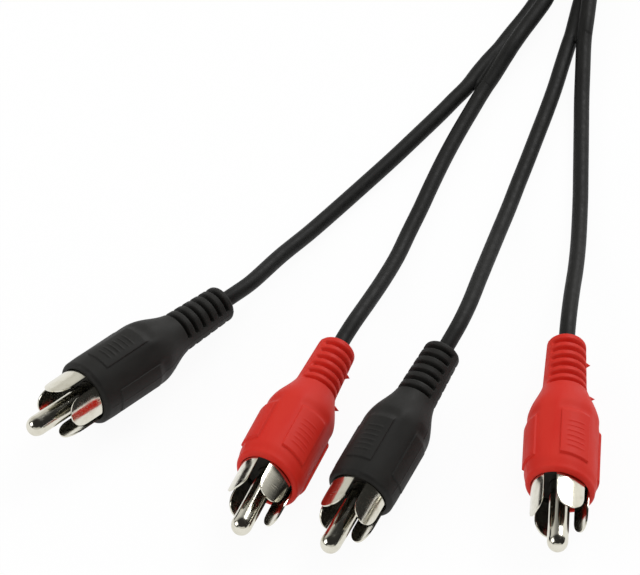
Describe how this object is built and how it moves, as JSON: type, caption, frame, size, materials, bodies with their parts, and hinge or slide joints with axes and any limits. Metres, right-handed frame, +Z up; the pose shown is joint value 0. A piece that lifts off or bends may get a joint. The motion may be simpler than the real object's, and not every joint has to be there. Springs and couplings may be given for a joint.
{
  "type": "stereo phono audio lead",
  "caption": "Twin audio lead with moulded phono plugs in red and black at both ends, split cords and a tied coil, for joining hi-fi components.",
  "frame": {"origin": "on the surface that the lead lies on, under the middle of the four plugs' own box", "axes": "+Z up; +X to the right along the row of plugs as they are seen from the front; +Y away from the front, towards the coil; the plugs' pins point to -Y"},
  "size_m": [0.104, 0.2028, 0.0123],
  "materials": {
    "black_pvc": "satin moulded PVC",
    "red_pvc": "satin moulded PVC",
    "nickel_plate": "bright nickel plate",
    "black_bush": "matte moulded nylon",
    "natural_polyethylene": "matte",
    "black_cord": "satin extruded PVC",
    "clear_core": "milky",
    "copper": "bare copper",
    "tie": "paper and wire twist tie with a plastic coat"
  },
  "bodies": {
    "root": {"black_a_housing": "black_pvc", "black_a_ground_sleeve": "nickel_plate", "black_a_insulator": "black_bush", "black_a_centre_pin": "nickel_plate", "black_a_inner_mould": "natural_polyethylene", "black_a_cable_end": "black_cord", "black_a_core_insulation": "clear_core", "black_a_core_conductor": "copper", "black_a_shield_pigtail": "copper", "black_a_lead": "black_cord", "red_a_housing": "red_pvc", "red_a_ground_sleeve": "nickel_plate", "red_a_insulator": "black_bush", "red_a_centre_pin": "nickel_plate", "red_a_inner_mould": "natural_polyethylene", "red_a_cable_end": "black_cord", "red_a_core_insulation": "clear_core", "red_a_core_conductor": "copper", "red_a_shield_pigtail": "copper", "red_a_lead": "black_cord", "black_b_housing": "black_pvc", "black_b_ground_sleeve": "nickel_plate", "black_b_insulator": "black_bush", "black_b_centre_pin": "nickel_plate", "black_b_inner_mould": "natural_polyethylene", "black_b_cable_end": "black_cord", "black_b_core_insulation": "clear_core", "black_b_core_conductor": "copper", "black_b_shield_pigtail": "copper", "black_b_lead": "black_cord", "red_b_housing": "red_pvc", "red_b_ground_sleeve": "nickel_plate", "red_b_insulator": "black_bush", "red_b_centre_pin": "nickel_plate", "red_b_inner_mould": "natural_polyethylene", "red_b_cable_end": "black_cord", "red_b_core_insulation": "clear_core", "red_b_core_conductor": "copper", "red_b_shield_pigtail": "copper", "red_b_lead": "black_cord", "twin_cord_a": "black_cord", "twin_cord_b": "black_cord", "cord_coil": "black_cord", "coil_tie": "tie"}
  },
  "joints": []
}
